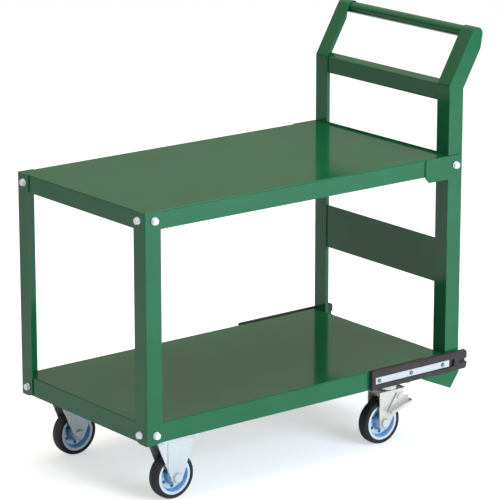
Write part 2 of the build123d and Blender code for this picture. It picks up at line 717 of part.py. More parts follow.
def mounting_plate(length, reach):
    """A caster's mounting plate with rounded corners and its four holes, at mounting height."""
    outline = RectangleRounded(length, CASTER_PLATE_WIDTH, CASTER_PLATE_CORNER)
    for x, y in plate_bolt_points(reach):
        outline -= Pos(x, y) * Circle(CASTER_BOLT_D / 2 + BOLT_HOLE_SLACK)
    return Pos(0, 0, MOUNT_BOTTOM) * extrude(outline, amount=CASTER_PLATE)


def leg_outline(front, back, top, band, foot):
    """Outline of a fork leg: a band under the crown that tapers to a round foot at the axle."""
    shoulder = Pos((back - front) / 2, top - band / 2) * Rectangle(front + back, band)
    toe = Pos(0, WHEEL_RADIUS) * Circle(foot)
    return Plane.XZ * make_hull(shoulder.edges() + toe.edges())


def fixed_fork():
    """Fixed fork: mounting plate and two legs, each with a broad raised rib."""
    half = FIXED_LEG_TOP / 2
    outline = leg_outline(half, half, MOUNT_BOTTOM + OVERSHOOT, FIXED_LEG_BAND, FIXED_LEG_FOOT)
    fork = mounting_plate(FIXED_PLATE_LENGTH, FIXED_BOLT_REACH) + leg_pair(outline)
    slab = block(-RIB_WIDTH / 2, RIB_WIDTH / 2, FORK_OUTER, FORK_OUTER + RIB_PROUD, 0, MOUNT_BOTTOM)
    tall = Pos(0, FORK_OUTER, 0) * extrude(outline, amount=RIB_PROUD, dir=(0, 1, 0))
    rib = slab & tall
    fork = fork + rib + mirror(rib, about=Plane.XZ)
    return fork - axle_bore(FORK_OUTER + RIB_PROUD + OVERSHOOT)


def swivel_fork():
    """Swivel fork: a flat crown round the swivel pin and two legs that reach forward to the axle."""
    front, back = SWIVEL_LEG_FRONT, SWIVEL_LEG_BACK
    crown = block(-front, back, -FORK_OUTER, FORK_OUTER, CROWN_TOP - CROWN_SHEET, CROWN_TOP)
    crown = fillet(crown.edges().filter_by(Axis.Z).sort_by(Axis.X)[-2:], CROWN_CORNER)
    top = CROWN_TOP - OVERSHOOT
    outline = leg_outline(front, back - CROWN_CORNER, top, SWIVEL_LEG_BAND, SWIVEL_LEG_FOOT)
    fork = crown + leg_pair(outline)
    low, high = CROWN_TOP - CROWN_SHEET - OVERSHOOT, CROWN_TOP + OVERSHOOT
    pin_bore = rod(KINGPIN_D + 2 * KINGPIN_FIT, low, high)
    fork = fork - Pos(SWIVEL_TRAIL, 0, 0) * pin_bore
    fork = fork - pedal_pivot_rod(PEDAL_PIN_D + 2 * THREAD_SLACK, FORK_OUTER + OVERSHOOT)
    return fork - axle_bore(FORK_OUTER + OVERSHOOT)


def swivel_plate():
    """Swivel caster's mounting plate with its pressed bearing cup, drawn round the swivel pin."""
    ball_top = CROWN_TOP + BALL_D + 2 * BALL_PLAY
    cup = rod(2 * CUP_RADIUS, ball_top, MOUNT_BOTTOM) - rod(2 * CUP_BORE, ball_top, MOUNT_BOTTOM)
    skirt_z = CROWN_TOP + SKIRT_GAP
    skirt = rod(2 * CUP_RADIUS, skirt_z, ball_top)
    skirt = skirt - rod(2 * (CUP_RADIUS - CUP_SKIRT), skirt_z, ball_top)
    plate = mounting_plate(SWIVEL_PLATE_LENGTH, SWIVEL_BOLT_REACH) + cup + skirt
    low, high = MOUNT_BOTTOM - OVERSHOOT, MOUNT_HEIGHT + OVERSHOOT
    return plate - rod(KINGPIN_D + 2 * THREAD_SLACK, low, high)


def kingpin():
    """Swivel pin, riveted into the mounting plate, with its head under the crown."""
    head_top = CROWN_TOP - CROWN_SHEET - KINGPIN_PLAY
    head = rod(KINGPIN_HEAD_D, head_top - KINGPIN_HEAD, head_top)
    head = chamfer(head.edges().sort_by(Axis.Z)[0], KINGPIN_CHAMFER)
    return head + rod(KINGPIN_D, head_top, MOUNT_HEIGHT - WELD_GAP)


def bearing_balls():
    """The ring of steel balls between crown and cup."""
    z = CROWN_TOP + BALL_PLAY + BALL_D / 2
    turns = [2 * pi * i / BALL_COUNT for i in range(BALL_COUNT)]
    return [Pos(BALL_CIRCLE * cos(t), BALL_CIRCLE * sin(t), z) * Sphere(BALL_D / 2) for t in turns]


# ---- Brake pedal ----
def pedal_pivot_rod(diameter, reach):
    """A bar along the pedal's pivot line."""
    return Pos(PEDAL_PIVOT[0], 0, PEDAL_PIVOT[1]) * Rot(90, 0, 0) * rod(diameter, -reach, reach)


def pedal_cheek():
    """The right cheek of the pedal, outside a fork leg."""
    outline = [PEDAL_TREAD_FRONT, PEDAL_CHEEK_FRONT, PEDAL_CHEEK_REAR, PEDAL_TREAD_REAR]
    return plate_xz(outline, CHEEK_INNER, CHEEK_OUTER)


def pedal_bridge():
    """The piece behind the fork that joins the two cheeks and carries the brake shoe."""
    x0, x1 = PEDAL_BRIDGE_X, PEDAL_BRIDGE_X + PEDAL_SHEET
    rear_x, rear_z = PEDAL_TREAD_REAR
    bridge = block(x0, x1, -CHEEK_OUTER, CHEEK_OUTER, PEDAL_BRIDGE_LOW, rear_z + 2 * PEDAL_SHEET)
    tip_x, tip_z = PEDAL_SHOE_TIP
    half = PEDAL_SHOE_WIDTH / 2
    shoe = plate_xz(
        [
            (tip_x, tip_z),
            (x1, PEDAL_BRIDGE_LOW),
            (x1, PEDAL_BRIDGE_LOW + PEDAL_SHEET),
            (tip_x, tip_z + PEDAL_SHEET),
        ],
        -half,
        half,
    )
    return bridge + shoe


def pedal_tread():
    """The foot tread, folded outwards from the left cheek, with its front end turned down."""
    front_x, front_z = PEDAL_TREAD_FRONT
    rear_x, rear_z = PEDAL_TREAD_REAR
    outline = [
        (front_x, front_z),
        (rear_x, rear_z),
        (rear_x, rear_z - PEDAL_SHEET),
        (front_x + PEDAL_SHEET, front_z - PEDAL_SHEET),
        (front_x + PEDAL_SHEET, front_z - PEDAL_LIP),
        (front_x, front_z - PEDAL_LIP),
    ]
    outside = -(CHEEK_INNER + PEDAL_TREAD_WIDTH)
    skirt = [
        (front_x, front_z),
        (rear_x, rear_z),
        (rear_x, rear_z - PEDAL_SKIRT),
        (front_x, front_z - PEDAL_SKIRT),
    ]
    tread = plate_xz(outline, outside, -CHEEK_INNER)
    return tread + plate_xz(skirt, outside, outside + PEDAL_SHEET)


def brake_pedal():
    """Folded steel rocker: stepping on its rear end turns the shoe down on to the tyre."""
    cheek = pedal_cheek()
    pedal = cheek + mirror(cheek, about=Plane.XZ) + pedal_bridge() + pedal_tread()
    return pedal - pedal_pivot_rod(PEDAL_PIN_D + 2 * PEDAL_PIN_FIT, CHEEK_OUTER + OVERSHOOT)


def pedal_pin():
    """The pivot pin through both fork legs, headed outside the cheeks."""
    start = CHEEK_OUTER + PEDAL_PIN_GAP
    pin = pedal_pivot_rod(PEDAL_PIN_D, start + PEDAL_PIN_HEAD)
    heads = pedal_pivot_rod(PEDAL_PIN_HEAD_D, start + PEDAL_PIN_HEAD)
    return pin + (heads - pedal_pivot_rod(PEDAL_PIN_HEAD_D + OVERSHOOT, start))


# ---- Write the frame ----
write("upper_deck", deck(UPPER_TOP, UPPER_LIP, REAR_UPSTAND))
lower_deck = deck(LOWER_TOP, LOWER_LIP, 0)
for name, side in SIDES:
    lower_deck = lower_deck - turned(screw_holes(SCREW_D + 2 * BOLT_HOLE_SLACK), side)
write("lower_deck", lower_deck)
write("handle_tube", grip_tube())
write("handle_crossbar", crossbar())
write("back_panel", back_panel())
write("caster_channel_front", cross_channel(FIXED_X, FIXED_BOLT_REACH))
write("caster_channel_rear", cross_channel(PIN_X, SWIVEL_BOLT_REACH))
for name, side in SIDES:
    write(f"front_post_{name}", turned(front_post(), side))
    write(f"rear_post_{name}", turned(rear_post(), side))
    write(f"upper_bracket_{name}", turned(upper_bracket(), side))
    write(f"lower_gusset_{name}", turned(lower_gusset(), side))
    write(f"bumper_{name}", turned(bumper(), side))
    write(f"bumper_strip_{name}", turned(bumper_strip(), side))

frame_bolts = frame_bolt_places()
write(
    "frame_bolts",
    *[p * bolt(BOLT_D, BOLT_FLATS, BOLT_HEAD, g, WASHER_SHEET, NUT_HEIGHT) for p, g in frame_bolts],
)
write("frame_washers", *[p * washer_solid() for p, g in frame_bolts])
write("frame_nuts", *[p * nut_solid(BOLT_D, BOLT_FLATS, NUT_HEIGHT, g) for p, g in frame_bolts])
screws = [turned(p * bumper_screw(), side) for _, side in SIDES for p in screw_places()]
screw_nuts = [turned(p * bumper_nut(), side) for _, side in SIDES for p in screw_places()]
write("bumper_screws", *screws)
write("bumper_nuts", *screw_nuts)

# ---- Write the casters ----
plate_bolts = []
plate_nuts = []
clamped = CASTER_PLATE + CHANNEL_SHEET
caster_bolt = bolt(CASTER_BOLT_D, CASTER_BOLT_FLATS, CASTER_BOLT_HEAD, clamped, 0, CASTER_NUT)
caster_nut = nut_solid(CASTER_BOLT_D, CASTER_BOLT_FLATS, CASTER_NUT, clamped)
for name, side in SIDES:
    for x, reach in ((FIXED_X, FIXED_BOLT_REACH), (PIN_X, SWIVEL_BOLT_REACH)):
        for dx, dy in plate_bolt_points(reach):
            under = seat(x + dx, side * CASTER_Y + dy, MOUNT_BOTTOM, (0, 0, -1))
            plate_bolts.append(under * caster_bolt)
            plate_nuts.append(under * caster_nut)
write("caster_plate_bolts", *plate_bolts)
write("caster_plate_nuts", *plate_nuts)
for name, side in SIDES:
    fixed_place = Pos(FIXED_X, side * CASTER_Y, 0)
    swivel_place = Pos(SWIVEL_X, side * CASTER_Y, 0)
    pin_place = Pos(PIN_X, side * CASTER_Y, 0)
    write(f"fixed_fork_{name}", fixed_place * fixed_fork())
    write(f"swivel_plate_{name}", pin_place * swivel_plate())
    write(f"kingpin_{name}", pin_place * kingpin())
    write(f"swivel_balls_{name}", *[pin_place * ball for ball in bearing_balls()])
    write(f"swivel_fork_{name}", swivel_place * swivel_fork())
    write(f"brake_pedal_{name}", swivel_place * brake_pedal())
    write(f"brake_pin_{name}", swivel_place * pedal_pin())
    for end, place, face in (
        ("front", fixed_place, FORK_OUTER + RIB_PROUD),
        ("rear", swivel_place, FORK_OUTER),
    ):
        centre = place * Pos(0, 0, WHEEL_RADIUS)
        disc = wheel_disc()
        write(f"tyre_{end}_{name}", centre * tyre())
        write(f"wheel_discs_{end}_{name}", centre * disc, centre * mirror(disc, about=Plane.XZ))
        write(f"wheel_rivets_{end}_{name}", *[centre * rivet for rivet in rivets()])
        write(f"wheel_hub_{end}_{name}", centre * hub())
        write(f"axle_{end}_{name}", *[centre * piece for piece in axle(face)])
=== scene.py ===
import math

import bpy
import bmesh
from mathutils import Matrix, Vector


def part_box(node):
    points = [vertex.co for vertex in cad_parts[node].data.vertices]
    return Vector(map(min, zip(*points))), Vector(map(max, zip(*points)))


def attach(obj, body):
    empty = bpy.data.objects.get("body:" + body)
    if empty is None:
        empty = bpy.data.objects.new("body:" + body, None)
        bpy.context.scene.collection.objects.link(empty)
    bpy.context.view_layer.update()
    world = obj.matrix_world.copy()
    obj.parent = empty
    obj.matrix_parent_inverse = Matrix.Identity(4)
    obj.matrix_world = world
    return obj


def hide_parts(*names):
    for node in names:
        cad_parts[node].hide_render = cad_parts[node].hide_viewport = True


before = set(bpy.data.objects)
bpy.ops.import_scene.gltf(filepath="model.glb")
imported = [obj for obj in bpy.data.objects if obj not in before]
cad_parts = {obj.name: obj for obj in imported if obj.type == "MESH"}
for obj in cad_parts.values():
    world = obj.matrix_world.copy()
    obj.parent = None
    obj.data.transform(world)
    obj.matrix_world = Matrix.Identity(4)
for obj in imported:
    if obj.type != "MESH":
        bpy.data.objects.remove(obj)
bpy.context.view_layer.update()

# ---- Decks ----
# Two pans pressed from 1.6 mm steel sheet, with lips turned down all round. The upper one
# has a low rim turned up at the back. They are degreased, phosphated, sprayed and baked.
MM = 0.001
ENAMEL_CLOUD_MM = 90.0
ENAMEL_PEEL_MM = 2.2
ENAMEL_PEEL_DEEP_MM = 0.05
ENAMEL_PEEL_STRENGTH = 0.12
ENAMEL_ROUGHNESS = (0.09, 0.15)


def linear(hex_colour):
    """An sRGB hex colour as linear red, green, blue and alpha."""
    shares = [int(hex_colour[i : i + 2], 16) / 255 for i in (1, 3, 5)]
    return [c / 12.92 if c <= 0.04045 else ((c + 0.055) / 1.055) ** 2.4 for c in shares] + [1.0]


def add(tree, kind, settings=None, links=None, stops=()):
    """Adds a node with its inputs or properties, its links, and its (place, hex colour) stops."""
    made = tree.nodes.new(kind)
    for name, value in (settings or {}).items():
        if isinstance(name, int) or name in made.inputs:
            made.inputs[name].default_value = value
        else:
            setattr(made, name, value)
    for name, source in (links or {}).items():
        tree.links.new(source, made.inputs[name])
    if stops:
        ends = made.color_ramp.elements[0], made.color_ramp.elements[1]
        for end, (place, colour) in zip(ends, (stops[0], stops[-1])):
            end.position = place
            end.color = linear(colour)
    for place, colour in stops[1:-1]:
        made.color_ramp.elements.new(place).color = linear(colour)
    return made


def new_material(name):
    """A material with a principled shader and its output, and its object coordinates."""
    material = bpy.data.materials.new(name)
    material.use_nodes = True
    tree = material.node_tree
    tree.nodes.clear()
    coords = add(tree, "ShaderNodeTexCoord").outputs["Object"]
    shader = add(tree, "ShaderNodeBsdfPrincipled")
    add(tree, "ShaderNodeOutputMaterial", links={"Surface": shader.outputs["BSDF"]})
    return material, tree, coords, shader


def finish_with(material, *names):
    """Puts a material on CAD nodes, which keep their shape."""
    for name in names:
        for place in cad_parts[name].material_slots:
            place.material = material


# Gloss alkyd enamel, sprayed and baked: an even deep green that looks wet, with a faint
# orange peel. It is a little duller and paler in slow clouds, where the coat is thicker.
enamel, tree, coords, shader = new_material("green_baked_enamel")
cloud = add(
    tree,
    "ShaderNodeTexNoise",
    {"Scale": 1 / (ENAMEL_CLOUD_MM * MM), "Detail": 3.0, "Roughness": 0.5},
    {"Vector": coords},
)
peel = add(
    tree,
    "ShaderNodeTexNoise",
    {"Scale": 1 / (ENAMEL_PEEL_MM * MM), "Detail": 2.0, "Roughness": 0.4},
    {"Vector": coords},
)
colour = add(
    tree,
    "ShaderNodeValToRGB",
    links={"Fac": cloud.outputs["Fac"]},
    stops=((0.35, "#09522e"), (0.65, "#0b5733")),
)
tree.links.new(colour.outputs["Color"], shader.inputs["Base Color"])
gloss = add(
    tree,
    "ShaderNodeMapRange",
    {
        "From Min": 0.3,
        "From Max": 0.7,
        "To Min": ENAMEL_ROUGHNESS[0],
        "To Max": ENAMEL_ROUGHNESS[1],
    },
    {"Value": cloud.outputs["Fac"]},
)
tree.links.new(gloss.outputs["Result"], shader.inputs["Roughness"])
bump = add(
    tree,
    "ShaderNodeBump",
    {"Strength": ENAMEL_PEEL_STRENGTH, "Distance": ENAMEL_PEEL_DEEP_MM * MM},
    {"Height": peel.outputs["Fac"]},
)
tree.links.new(bump.outputs["Normal"], shader.inputs["Normal"])
finish_with(enamel, "upper_deck", "lower_deck")

# ---- Front posts ----
# Angles folded from 2.3 mm steel sheet, with both legs outside the decks' corners.
# Each is held by a bolt through either leg at either deck, and has the decks' enamel.
finish_with(enamel, "front_post_left", "front_post_right")

# ---- Rear posts, grip, crossbar and back panel ----
# Each rear post is one folded angle, bent back at the top and curled over the grip tube.
# Grip, crossbar and panel are welded between the two posts, and painted with them.
finish_with(enamel, "rear_post_left", "rear_post_right")
finish_with(enamel, "handle_tube", "handle_crossbar", "back_panel")

# ---- Corner plates and cross channels ----
# Plates cut from 3.2 mm steel stiffen the rear corners, and folded channels under the
# lower deck carry the casters. All are welded on before the enamel is sprayed.
finish_with(enamel, "upper_bracket_left", "upper_bracket_right")
finish_with(enamel, "lower_gusset_left", "lower_gusset_right")
finish_with(enamel, "caster_channel_front", "caster_channel_rear")

# ---- Weld beads ----
# MIG fillet welds, laid as overlapping ripples before painting, so they have the enamel.
# They join the crossbar and panel to the rear posts, and the upper plates to the deck's lip.
SIDES = (("left", -1), ("right", 1))
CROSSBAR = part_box("handle_crossbar")
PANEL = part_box("back_panel")
LIP_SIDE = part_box("upper_deck")[1].y
BEAD_PITCH = 1.7 * MM
BEAD_SEGMENTS = 10
BEAD_RINGS = 6
BEAD_RADIUS = 2.0 * MM
PANEL_BEAD_RADIUS = 1.8 * MM
BAR_CORNER = 6 * MM  # the bar's rounded corners, which stay unwelded
PLATE_FOOT, PLATE_HEAD = 17 * MM, 7 * MM  # the ends of the plate's front edge, unwelded
BEAD_PROUD = 0.6 * MM
POST_LEG = 39 * MM
PANEL_WELDS = (("low", 6 * MM, 28 * MM), ("high", 70 * MM, 92 * MM))


def bead(name, start, end, radius):
    """One straight weld from start to end: a short row of overlapping round ripples."""
    start, end = Vector(start), Vector(end)
    count = max(2, round((end - start).length / BEAD_PITCH))
    bpy.ops.object.select_all(action="DESELECT")
    bpy.ops.mesh.primitive_uv_sphere_add(
        segments=BEAD_SEGMENTS, ring_count=BEAD_RINGS, radius=radius, location=start
    )
    made = bpy.context.object
    made.name = name
    row = made.modifiers.new("row", "ARRAY")
    row.count = count
    row.use_relative_offset = False
    row.use_constant_offset = True
    row.constant_offset_displace = (end - start) / (count - 1)
    bpy.ops.object.modifier_apply(modifier="row")
    bpy.ops.object.transform_apply(location=True, rotation=True, scale=True)
    bpy.ops.object.shade_smooth()
    made.data.materials.append(enamel)
    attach(made, "chassis")


for side, sign in SIDES:
    bar_end = sign * CROSSBAR[1].y
    for level, height in (("top", CROSSBAR[1].z), ("bottom", CROSSBAR[0].z)):
        bead(
            f"weld_crossbar_{level}_{side}",
            (CROSSBAR[0].x + BAR_CORNER, bar_end, height),
            (CROSSBAR[1].x - BAR_CORNER, bar_end, height),
            BEAD_RADIUS,
        )
    plate_low, plate_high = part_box(f"upper_bracket_{side}")
    lip = sign * (LIP_SIDE + BEAD_PROUD)
    bead(
        f"weld_bracket_front_{side}",
        (plate_low.x, lip, plate_low.z + PLATE_FOOT),
        (plate_low.x, lip, plate_high.z - PLATE_HEAD),
        BEAD_RADIUS,
    )
    leg_edge = sign * (LIP_SIDE - POST_LEG)
    for level, low, high in PANEL_WELDS:
        bead(
            f"weld_panel_{level}_{side}",
            (PANEL[0].x, leg_edge, PANEL[0].z + low),
            (PANEL[0].x, leg_edge, PANEL[0].z + high),
            PANEL_BEAD_RADIUS,
        )

# ---- Frame bolts ----
# Cold-headed M8 hexagon bolts with washers and nuts, through each post and deck lip.
# They are barrel plated with bright zinc after threading, and put in once the paint is dry.
METAL_MOTTLE_MM = 3.0


def plated(name, low, high, metallic, roughness, detail=3.0):
    """A plated or ground metal, mottled between two (place, hex colour) shades."""
    material, tree, coords, shader = new_material(name)
    mottle = add(
        tree,
        "ShaderNodeTexNoise",
        {"Scale": 1 / (METAL_MOTTLE_MM * MM), "Detail": detail},
        {"Vector": coords},
    )
    colour = add(
        tree, "ShaderNodeValToRGB", links={"Fac": mottle.outputs["Fac"]}, stops=(low, high)
    )
    tree.links.new(colour.outputs["Color"], shader.inputs["Base Color"])
    shader.inputs["Metallic"].default_value = metallic
    shader.inputs["Roughness"].default_value = roughness
    return material


# Bright zinc plate: a near-white metal whose fine crystals scatter much of the light.
# The mottle is drawn coarser than the real crystals, so that it shows.
bolt_zinc = plated(
    "bright_zinc_plated_bolts", (0.35, "#e6e8e8"), (0.65, "#f3f4f4"), metallic=0.35, roughness=0.25
)
finish_with(bolt_zinc, "frame_bolts", "frame_washers", "frame_nuts")

# ---- Bumpers ----
# One black rubber block on each side of the lower deck, compression moulded with a rounded
# rear end, a long window for its strip, a short slot and a notch, and an oval dimple in
# front. It is cut away behind, where it passes the lower corner plate.
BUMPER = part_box("bumper_right")
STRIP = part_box("bumper_strip_right")
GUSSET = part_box("lower_gusset_right")
BUMPER_ROUND, BUMPER_ROUND_STEPS = 8.3 * MM, 8
BUMPER_EDGE, BUMPER_EDGE_STEPS = 2.5 * MM, 5
WINDOW_RIM = 1.5 * MM
WINDOW_DEEP = 4.6 * MM
WINDOW_MARGIN = 1.0 * MM
POCKET_LONG, POCKET_DEEP = 12 * MM, 6.2 * MM
SLOT_LONG, SLOT_HIGH, SLOT_DEEP = 24 * MM, 8.4 * MM, 3.8 * MM
NOTCH_LONG = 3.7 * MM
RELIEF = 0.3 * MM
DIMPLE_FORWARD, DIMPLE_UP = 17.6 * MM, 7.4 * MM
DIMPLE_WIDE, DIMPLE_HIGH, DIMPLE_DEEP = 9 * MM, 5 * MM, 0.6 * MM
DIMPLE_POINTS = 24
SOFT_EDGE, SOFT_EDGE_STEPS = 0.7 * MM, 2
BUMPER_SMOOTH_DEG = 35
PAST = 2 * MM  # how far a cutter reaches past the surface that it opens
NEAR = 0.01 * MM
BUMPER_GRAIN_MM = 0.9
BUMPER_GRAIN_DEEP_MM = 0.1
BUMPER_BLOOM_MM = 35.0

# Carbon-black rubber from a blasted mould: dark warm grey, dull, with a slow bloom of dust.
bumper_rubber, tree, coords, shader = new_material("moulded_bumper_rubber")
bloom = add(
    tree,
    "ShaderNodeTexNoise",
    {"Scale": 1 / (BUMPER_BLOOM_MM * MM), "Detail": 4.0},
    {"Vector": coords},
)
grain = add(
    tree,
    "ShaderNodeTexNoise",
    {"Scale": 1 / (BUMPER_GRAIN_MM * MM), "Detail": 2.0},
    {"Vector": coords},
)
colour = add(
    tree,
    "ShaderNodeValToRGB",
    links={"Fac": bloom.outputs["Fac"]},
    stops=((0.35, "#2b2524"), (0.65, "#352e2d")),
)
tree.links.new(colour.outputs["Color"], shader.inputs["Base Color"])
bump = add(
    tree,
    "ShaderNodeBump",
    {"Strength": 0.25, "Distance": BUMPER_GRAIN_DEEP_MM * MM},
    {"Height": grain.outputs["Fac"]},
)
tree.links.new(bump.outputs["Normal"], shader.inputs["Normal"])
shader.inputs["Roughness"].default_value = 0.48


def box_mesh(name, low, high):
    """A block between two corners, its place in its mesh."""
    bpy.ops.object.select_all(action="DESELECT")
    low, high = Vector(low), Vector(high)
    bpy.ops.mesh.primitive_cube_add(size=1.0, location=(low + high) / 2)
    made = bpy.context.object
    made.name = name
    made.scale = high - low
    bpy.ops.object.transform_apply(location=True, rotation=True, scale=True)
    return made


def bevel_where(made, wanted, width, steps):
    """Rounds the edges for which wanted(start, end) holds."""
    bpy.ops.object.mode_set(mode="EDIT")
    bpy.ops.mesh.select_mode(type="EDGE")
    bpy.ops.mesh.select_all(action="DESELECT")
    mesh = bmesh.from_edit_mesh(made.data)
    for edge in mesh.edges:
        edge.select_set(wanted(edge.verts[0].co, edge.verts[1].co))
    bmesh.update_edit_mesh(made.data)
    bpy.ops.mesh.bevel(offset=width, segments=steps)
    bpy.ops.object.mode_set(mode="OBJECT")


def cut_away(made, cutter):
    """Cuts one mesh from another and removes the cutter."""
    bpy.ops.object.select_all(action="DESELECT")
    made.select_set(True)
    bpy.context.view_layer.objects.active = made
    cut = made.modifiers.new("cut", "BOOLEAN")
    cut.operation = "DIFFERENCE"
    cut.solver = "EXACT"
    cut.object = cutter
    bpy.ops.object.modifier_apply(modifier="cut")
    bpy.data.objects.remove(cutter, do_unlink=True)


def mirrored(made, name):
    """A copy of a right-hand piece for the left, with its faces turned outwards again."""
    bpy.ops.object.select_all(action="DESELECT")
    made.select_set(True)
    bpy.context.view_layer.objects.active = made
    bpy.ops.object.duplicate()
    left = bpy.context.object
    left.name = name
    left.scale = (1, -1, 1)
    bpy.ops.object.transform_apply(location=True, rotation=True, scale=True)
    bpy.ops.object.mode_set(mode="EDIT")
    bpy.ops.mesh.select_all(action="SELECT")
    bpy.ops.mesh.normals_make_consistent(inside=False)
    bpy.ops.object.mode_set(mode="OBJECT")
    return left


low, high = BUMPER
bumper = box_mesh("bumper_block_right", (low.x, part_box("lower_deck")[1].y, low.z), high)
bevel_where(
    bumper,
    lambda a, b: min(a.x, b.x) > high.x - MM and abs(a.y - b.y) > MM,
    BUMPER_ROUND,
    BUMPER_ROUND_STEPS,
)
bevel_where(
    bumper, lambda a, b: min(a.y, b.y) > high.y - NEAR, BUMPER_EDGE, BUMPER_EDGE_STEPS
)
window_front = STRIP[0].x - WINDOW_RIM
window_back = STRIP[1].x + POCKET_LONG + WINDOW_RIM / 2
window_low, window_high = STRIP[0].z - WINDOW_MARGIN, STRIP[1].z + WINDOW_MARGIN
middle = (STRIP[0].z + STRIP[1].z) / 2
slot_low, slot_high = middle - SLOT_HIGH / 2, middle + SLOT_HIGH / 2
hollows = (
    # window
    (
        (window_front, high.y - WINDOW_DEEP, window_low),
        (window_back, high.y + PAST, window_high),
    ),
    # deeper pocket at the window's rear end
    (
        (window_back - POCKET_LONG, high.y - POCKET_DEEP, window_low),
        (window_back, high.y + PAST, window_high),
    ),
    # slot behind it
    (
        (high.x - SLOT_LONG, high.y - SLOT_DEEP, slot_low),
        (high.x - NOTCH_LONG, high.y + PAST, slot_high),
    ),
    # notch in the rear end
    (
        (high.x - NOTCH_LONG, low.y - PAST, slot_low),
        (high.x + PAST, high.y + PAST, slot_high),
    ),
    # relief for the corner plate
    (
        (GUSSET[0].x - RELIEF, low.y - PAST, low.z - PAST),
        (high.x + PAST, GUSSET[1].y + RELIEF, high.z + PAST),
    ),
)
for hollow_low, hollow_high in hollows:
    cut_away(bumper, box_mesh("cut", hollow_low, hollow_high))
bpy.ops.object.select_all(action="DESELECT")
bpy.ops.mesh.primitive_cylinder_add(
    vertices=DIMPLE_POINTS,
    radius=0.5,
    depth=1.0,
    location=(low.x + DIMPLE_FORWARD, high.y, low.z + DIMPLE_UP),
    rotation=(math.pi / 2, 0, 0),
)
dimple = bpy.context.object
dimple.scale = (DIMPLE_WIDE, DIMPLE_HIGH, 2 * DIMPLE_DEEP)
bpy.ops.object.transform_apply(location=True, rotation=True, scale=True)
cut_away(bumper, dimple)
soft = bumper.modifiers.new("soft", "BEVEL")
soft.width = SOFT_EDGE
soft.segments = SOFT_EDGE_STEPS
soft.limit_method = "ANGLE"
bpy.ops.object.modifier_apply(modifier="soft")
bpy.ops.object.shade_smooth_by_angle(angle=math.radians(BUMPER_SMOOTH_DEG))
bumper.data.materials.append(bumper_rubber)
for piece, side in ((bumper, "right"), (mirrored(bumper, "bumper_block_left"), "left")):
    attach(piece, "chassis")
    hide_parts(f"bumper_{side}")

# ---- Bumper strips and screws ----
# A flat steel strip clamps each bumper to the deck's lip, with three M5 round-headed screws
# and their nuts. The strip is cut from coil that was zinc plated beforehand.
STRIP_STREAK_MM = 1.5
STRIP_STREAK_SHORTER = 0.06  # the streaks' fineness along the strip, beside that across it

# Pre-plated steel: nearly white, with fine streaks along its length from the rolls.
strip_zinc, tree, coords, shader = new_material("zinc_plated_strip")
along = add(
    tree,
    "ShaderNodeMapping",
    {"Scale": (STRIP_STREAK_SHORTER, 1.0, 1.0)},
    {"Vector": coords},
)
streak = add(
    tree,
    "ShaderNodeTexNoise",
    {"Scale": 1 / (STRIP_STREAK_MM * MM), "Detail": 3.0},
    {"Vector": along.outputs["Vector"]},
)
colour = add(
    tree,
    "ShaderNodeValToRGB",
    links={"Fac": streak.outputs["Fac"]},
    stops=((0.3, "#b4b5b2"), (0.7, "#cbcbc8")),
)
tree.links.new(colour.outputs["Color"], shader.inputs["Base Color"])
shader.inputs["Metallic"].default_value = 0.3
shader.inputs["Roughness"].default_value = 0.3
finish_with(strip_zinc, "bumper_strip_left", "bumper_strip_right")

# Zinc-plated screw heads, coloured greyer than the strip.
screw_zinc = plated(
    "grey_zinc_plated_screws", (0.35, "#8b8f92"), (0.65, "#abafb2"), metallic=1.0, roughness=0.3
)
finish_with(screw_zinc, "bumper_screws", "bumper_nuts")

# ---- Fixed casters ----
# Front forks pressed from 3 mm steel with a raised rib down each leg, and zinc plated.
# Four M8 bolts hold each one to the front cross channel, and one bolt is its wheel's axle.

# Blue-passivated zinc plate: pale, cool and evenly shining over pressed steel.
fork_zinc = plated(
    "blue_zinc_plated_forks",
    (0.3, "#d6d9d6"),
    (0.7, "#e0e3e1"),
    metallic=0.7,
    roughness=0.22,
    detail=2.0,
)
finish_with(fork_zinc, "caster_plate_bolts", "caster_plate_nuts")
for side, _ in SIDES:
    finish_with(fork_zinc, f"fixed_fork_{side}", f"axle_front_{side}", f"axle_rear_{side}")

# ---- Swivel casters ----
# Rear forks that turn on a ring of balls round a kingpin, under a pressed plate, each with
# a foot brake on a pin. They are pressed from 3 mm steel and zinc plated.

# Clear zinc plate a few years old: it has turned from blue to cream.
cream_zinc = plated(
    "aged_zinc_plated_swivel_forks",
    (0.3, "#dad4c6"),
    (0.7, "#e4dfd3"),
    metallic=0.7,
    roughness=0.24,
    detail=2.0,
)
# Hardened and ground chrome steel: grey, clean and sharply reflecting.
ball_steel = plated(
    "ground_bearing_steel", (0.35, "#9b9d9f"), (0.65, "#b4b6b8"), metallic=1.0, roughness=0.2
)
for side, _ in SIDES:
    finish_with(cream_zinc, f"swivel_fork_{side}", f"swivel_plate_{side}", f"kingpin_{side}")
    finish_with(cream_zinc, f"brake_pedal_{side}", f"brake_pin_{side}")
    finish_with(ball_steel, f"swivel_balls_{side}")

# ---- Wheel discs ----
# Each wheel has two discs pressed from 1.5 mm sheet, joined by six rivets round a hub tube.
# The pressing leaves a flat rim, a deep round trough and a crown at the hub.
DISC_REACH_MM = 50.0
DISC_RIM = "#d9e0e3"
# Radius in mm and colour. The deeper blues from 16 to 18.5 mm and from 29.8 to 33.2 mm, on the
# trough's walls, are painted shade over the plating's pale blue.
DISC_TINT_AND_PAINTED_SHADE_BANDS = (
    (10.0, DISC_RIM),
    (13.0, "#d5e0e6"),
    (16.0, "#86afce"),
    (18.5, "#5c97c4"),
    (22.0, "#c3d5e0"),
    (28.0, "#ccdbe4"),
    (29.8, "#6ea5cd"),
    (33.2, "#93bbd7"),
    (34.6, "#d5dde1"),
    (37.0, DISC_RIM),
)


